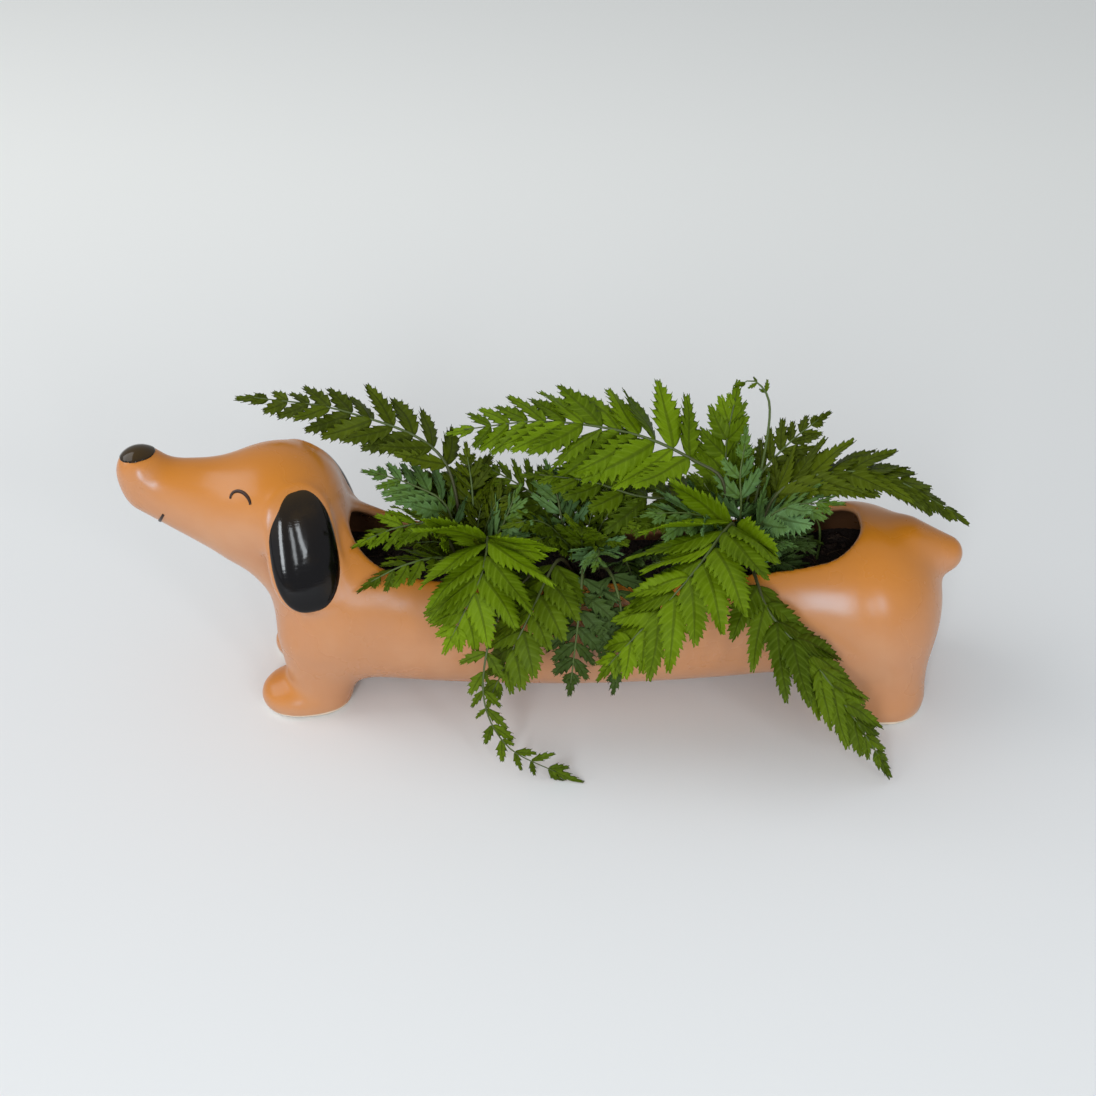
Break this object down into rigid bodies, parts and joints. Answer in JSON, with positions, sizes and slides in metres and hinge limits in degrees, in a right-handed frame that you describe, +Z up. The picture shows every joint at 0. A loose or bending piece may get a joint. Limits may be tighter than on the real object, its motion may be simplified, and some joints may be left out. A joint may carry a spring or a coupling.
{
  "type": "animal planter",
  "caption": "Long dachshund-shaped glazed ceramic planter with an open back, raised ears and short legs, planted with ferns.",
  "frame": {"origin": "on the ground under the middle of the whole object", "axes": "+X runs from the nose towards the tail, +Y to the dog's right side, +Z up"},
  "size_m": [0.4113, 0.1689, 0.1593],
  "materials": {
    "tan_glaze": "satin tan-orange glaze over earthenware",
    "black_glaze": "gloss",
    "black_enamel": "satin fired enamel line",
    "potting_soil": "matte moist soil",
    "root": "matte root fibre",
    "leaf_green": "satin leaf",
    "leaf_blue_green": "satin leaf"
  },
  "bodies": {
    "root": {"planter_body": "tan_glaze", "ear_left": "black_glaze", "ear_right": "black_glaze", "nose": "black_glaze", "eye_line_left": "black_enamel", "eye_line_right": "black_enamel", "mouth_line": "black_enamel", "potting_soil": "potting_soil", "fern_crown_front": "root", "fern_crown_middle": "root", "fern_crown_rear": "root", "frond_front_long_left": "leaf_green", "frond_front_blue": "leaf_blue_green", "frond_front_low_left": "leaf_green", "frond_front_lobe": "leaf_green", "frond_front_broad": "leaf_green", "frond_front_over_back": "leaf_green", "frond_front_low_back": "leaf_blue_green", "frond_front_top": "leaf_blue_green", "frond_front_dark": "leaf_green", "frond_middle_down_left": "leaf_green", "frond_middle_trailing": "leaf_green", "frond_middle_dark_left": "leaf_blue_green", "frond_middle_dark_right": "leaf_blue_green", "frond_middle_up_left": "leaf_green", "frond_middle_up_centre": "leaf_blue_green", "frond_middle_up_right": "leaf_green", "frond_middle_small_right": "leaf_blue_green", "frond_middle_over_back": "leaf_green", "frond_rear_big_left": "leaf_green", "frond_rear_hanging": "leaf_green", "frond_rear_long_right": "leaf_green", "frond_rear_up_left": "leaf_green", "frond_rear_up_middle": "leaf_green", "frond_rear_up_right": "leaf_green", "frond_rear_young": "leaf_green", "frond_rear_blue_left": "leaf_blue_green", "frond_rear_blue_right": "leaf_blue_green", "frond_rear_arching": "leaf_green", "frond_rear_low_stalk": "leaf_green", "frond_rear_over_back": "leaf_green", "frond_rear_low_back": "leaf_blue_green", "frond_rear_small": "leaf_green", "frond_rear_blue_up": "leaf_blue_green"}
  },
  "joints": []
}
